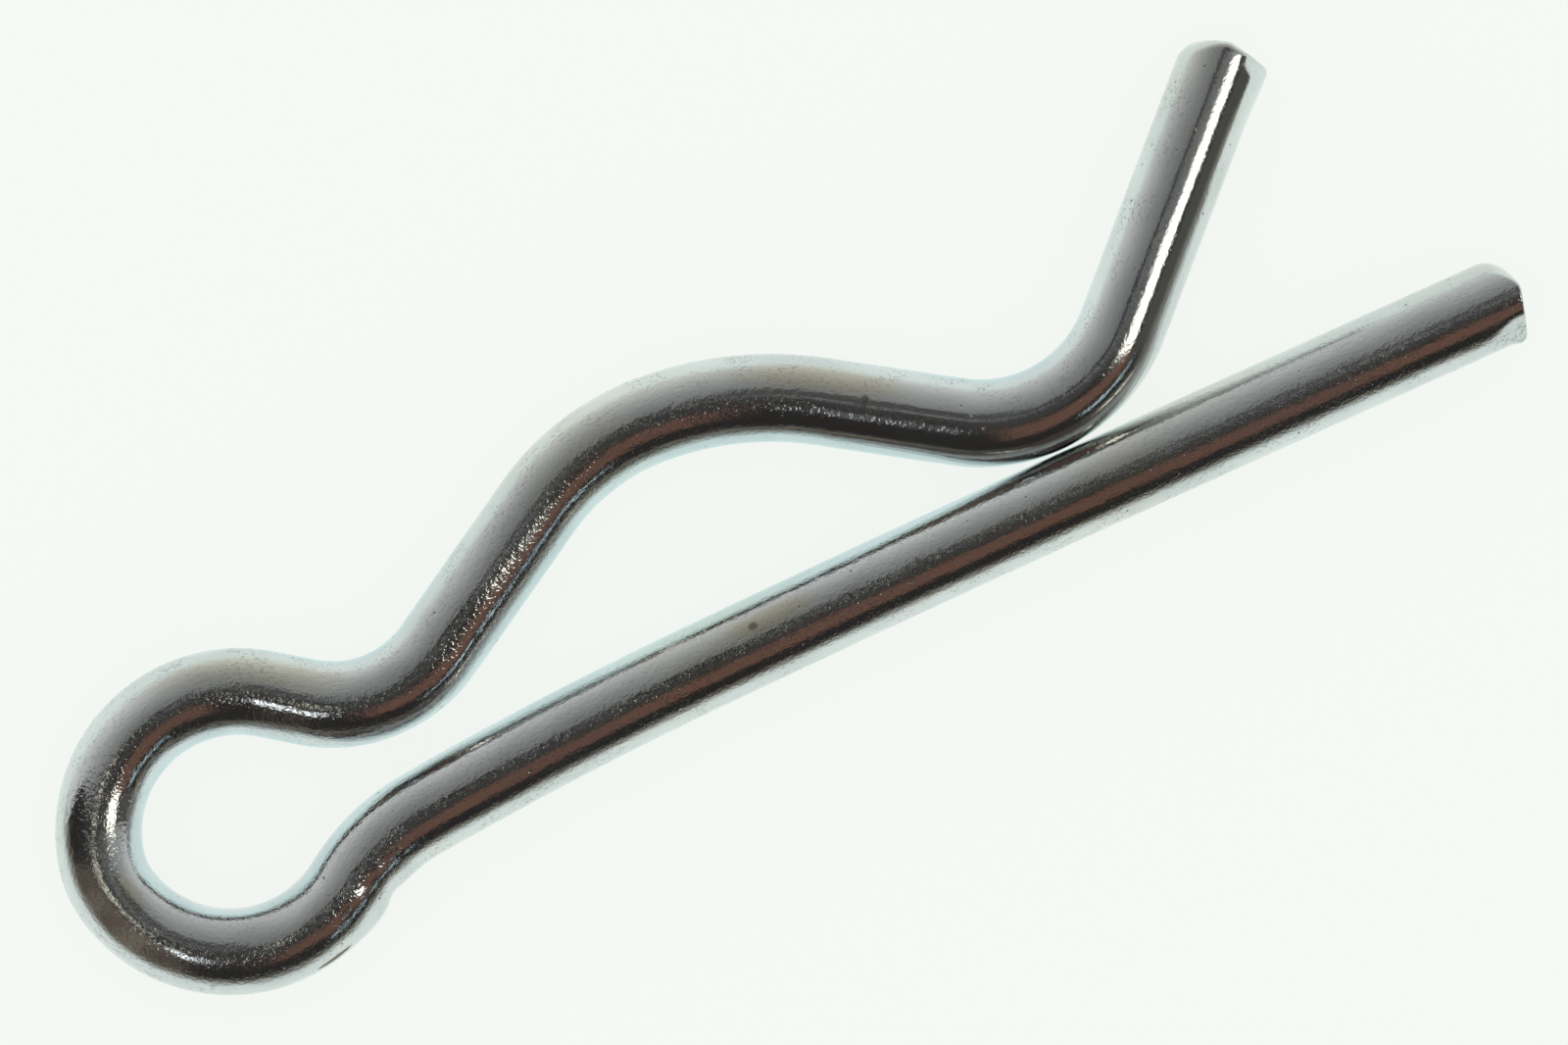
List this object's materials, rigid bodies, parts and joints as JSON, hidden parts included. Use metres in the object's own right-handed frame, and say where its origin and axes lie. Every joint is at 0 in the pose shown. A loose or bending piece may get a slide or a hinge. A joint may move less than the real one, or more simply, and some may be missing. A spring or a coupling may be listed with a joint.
{
  "type": "hairpin cotter pin",
  "caption": "Hairpin cotter of bent spring wire: a straight leg for a clevis pin's cross hole, a round eye, and a waved arm with a flared end that snaps round the pin.",
  "frame": {"origin": "where the axis of the leg meets the axis of the clevis pin that the clip locks, at mid height of the wire", "axes": "+X along the straight leg towards its tip, +Y towards the arm, +Z along the clevis pin, square to the flat of the clip"},
  "size_m": [0.0571, 0.0179, 0.0032],
  "materials": {
    "zinc_wire": "bright zinc plate on drawn spring wire"
  },
  "bodies": {
    "root": {"hairpin": "zinc_wire"}
  },
  "joints": []
}
